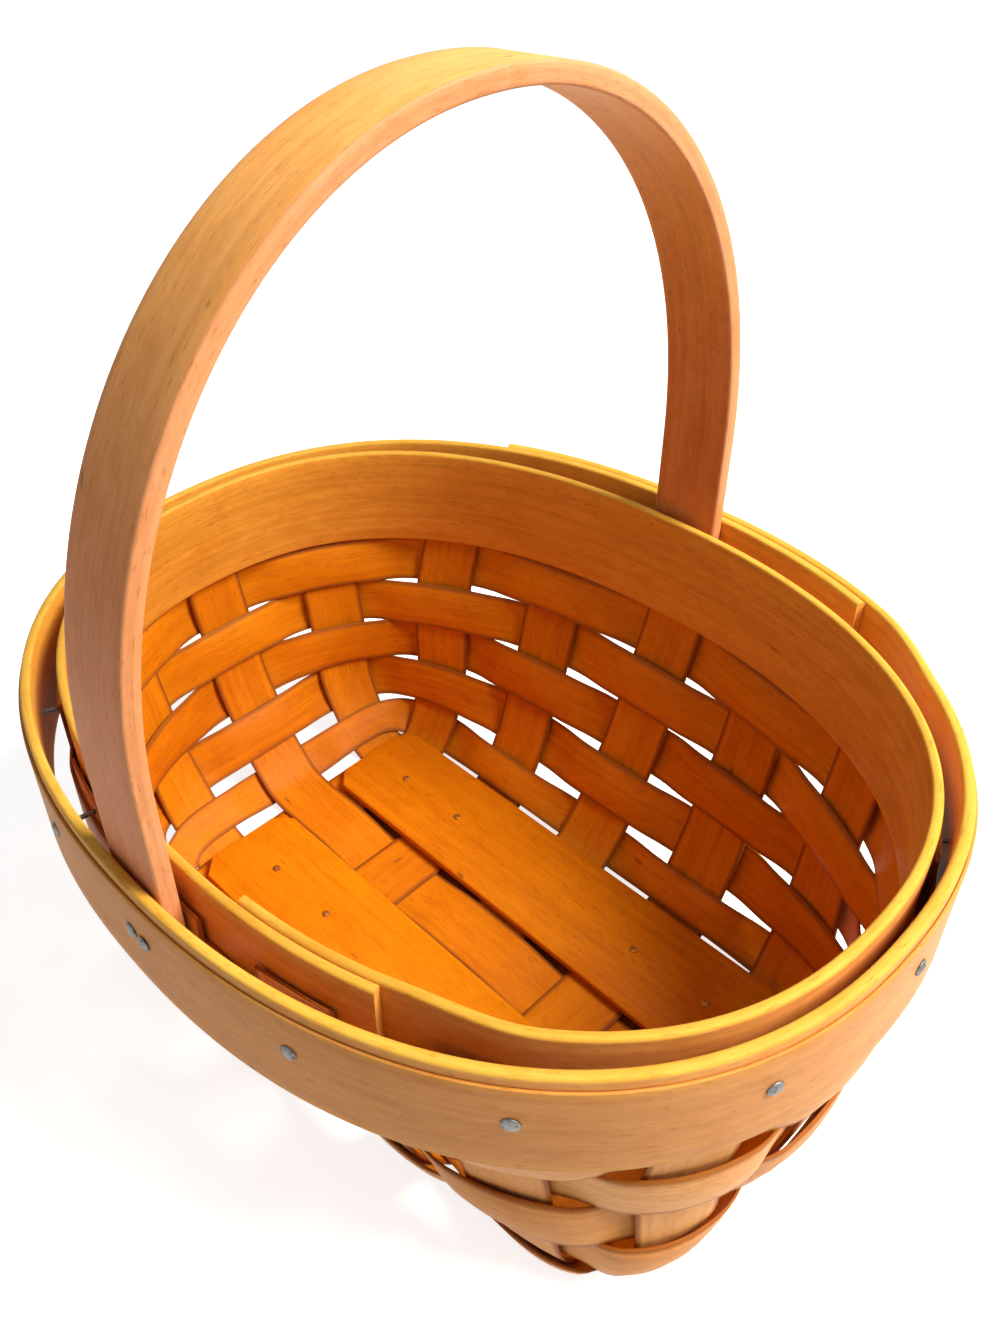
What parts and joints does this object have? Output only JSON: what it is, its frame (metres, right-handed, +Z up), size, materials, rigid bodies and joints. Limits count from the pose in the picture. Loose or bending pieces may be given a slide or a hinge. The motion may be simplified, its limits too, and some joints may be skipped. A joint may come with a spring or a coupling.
{
  "type": "woven basket",
  "caption": "Oval splint-woven wooden basket with bent rim bands, a fixed hoop handle across the middle and nailed floor slats.",
  "frame": {"origin": "On the ground under the middle of the woven floor and of the rim oval.", "axes": "X runs along the rim's long axis, Y across it in the plane of the handle, Z up."},
  "size_m": [0.2336, 0.1966, 0.2369],
  "materials": {
    "stake_splint": "satin varnish",
    "weaver_splint": "satin varnish",
    "band_wood": "satin varnish",
    "facing_wood": "satin varnish",
    "handle_wood": "satin varnish",
    "slat_wood": "satin varnish",
    "tack_steel": "dull plated",
    "nail_steel": "dull, stained by the varnish"
  },
  "bodies": {
    "root": {"stake_long_near": "stake_splint", "stake_long_middle": "stake_splint", "stake_long_far": "stake_splint", "stake_cross_1": "stake_splint", "stake_cross_2": "stake_splint", "stake_cross_3": "stake_splint", "stake_cross_4": "stake_splint", "stake_cross_5": "stake_splint", "weaver_row_top": "weaver_splint", "weaver_row_1": "weaver_splint", "weaver_row_2": "weaver_splint", "weaver_row_3": "weaver_splint", "weaver_row_4": "weaver_splint", "weaver_row_5": "weaver_splint", "inner_rim_band": "band_wood", "outer_rim_band": "band_wood", "outer_rim_facing": "facing_wood", "handle": "handle_wood", "floor_slat_far": "slat_wood", "floor_slat_near": "slat_wood", "rim_tacks": "tack_steel", "handle_tacks": "tack_steel", "slat_nails": "nail_steel"}
  },
  "joints": []
}
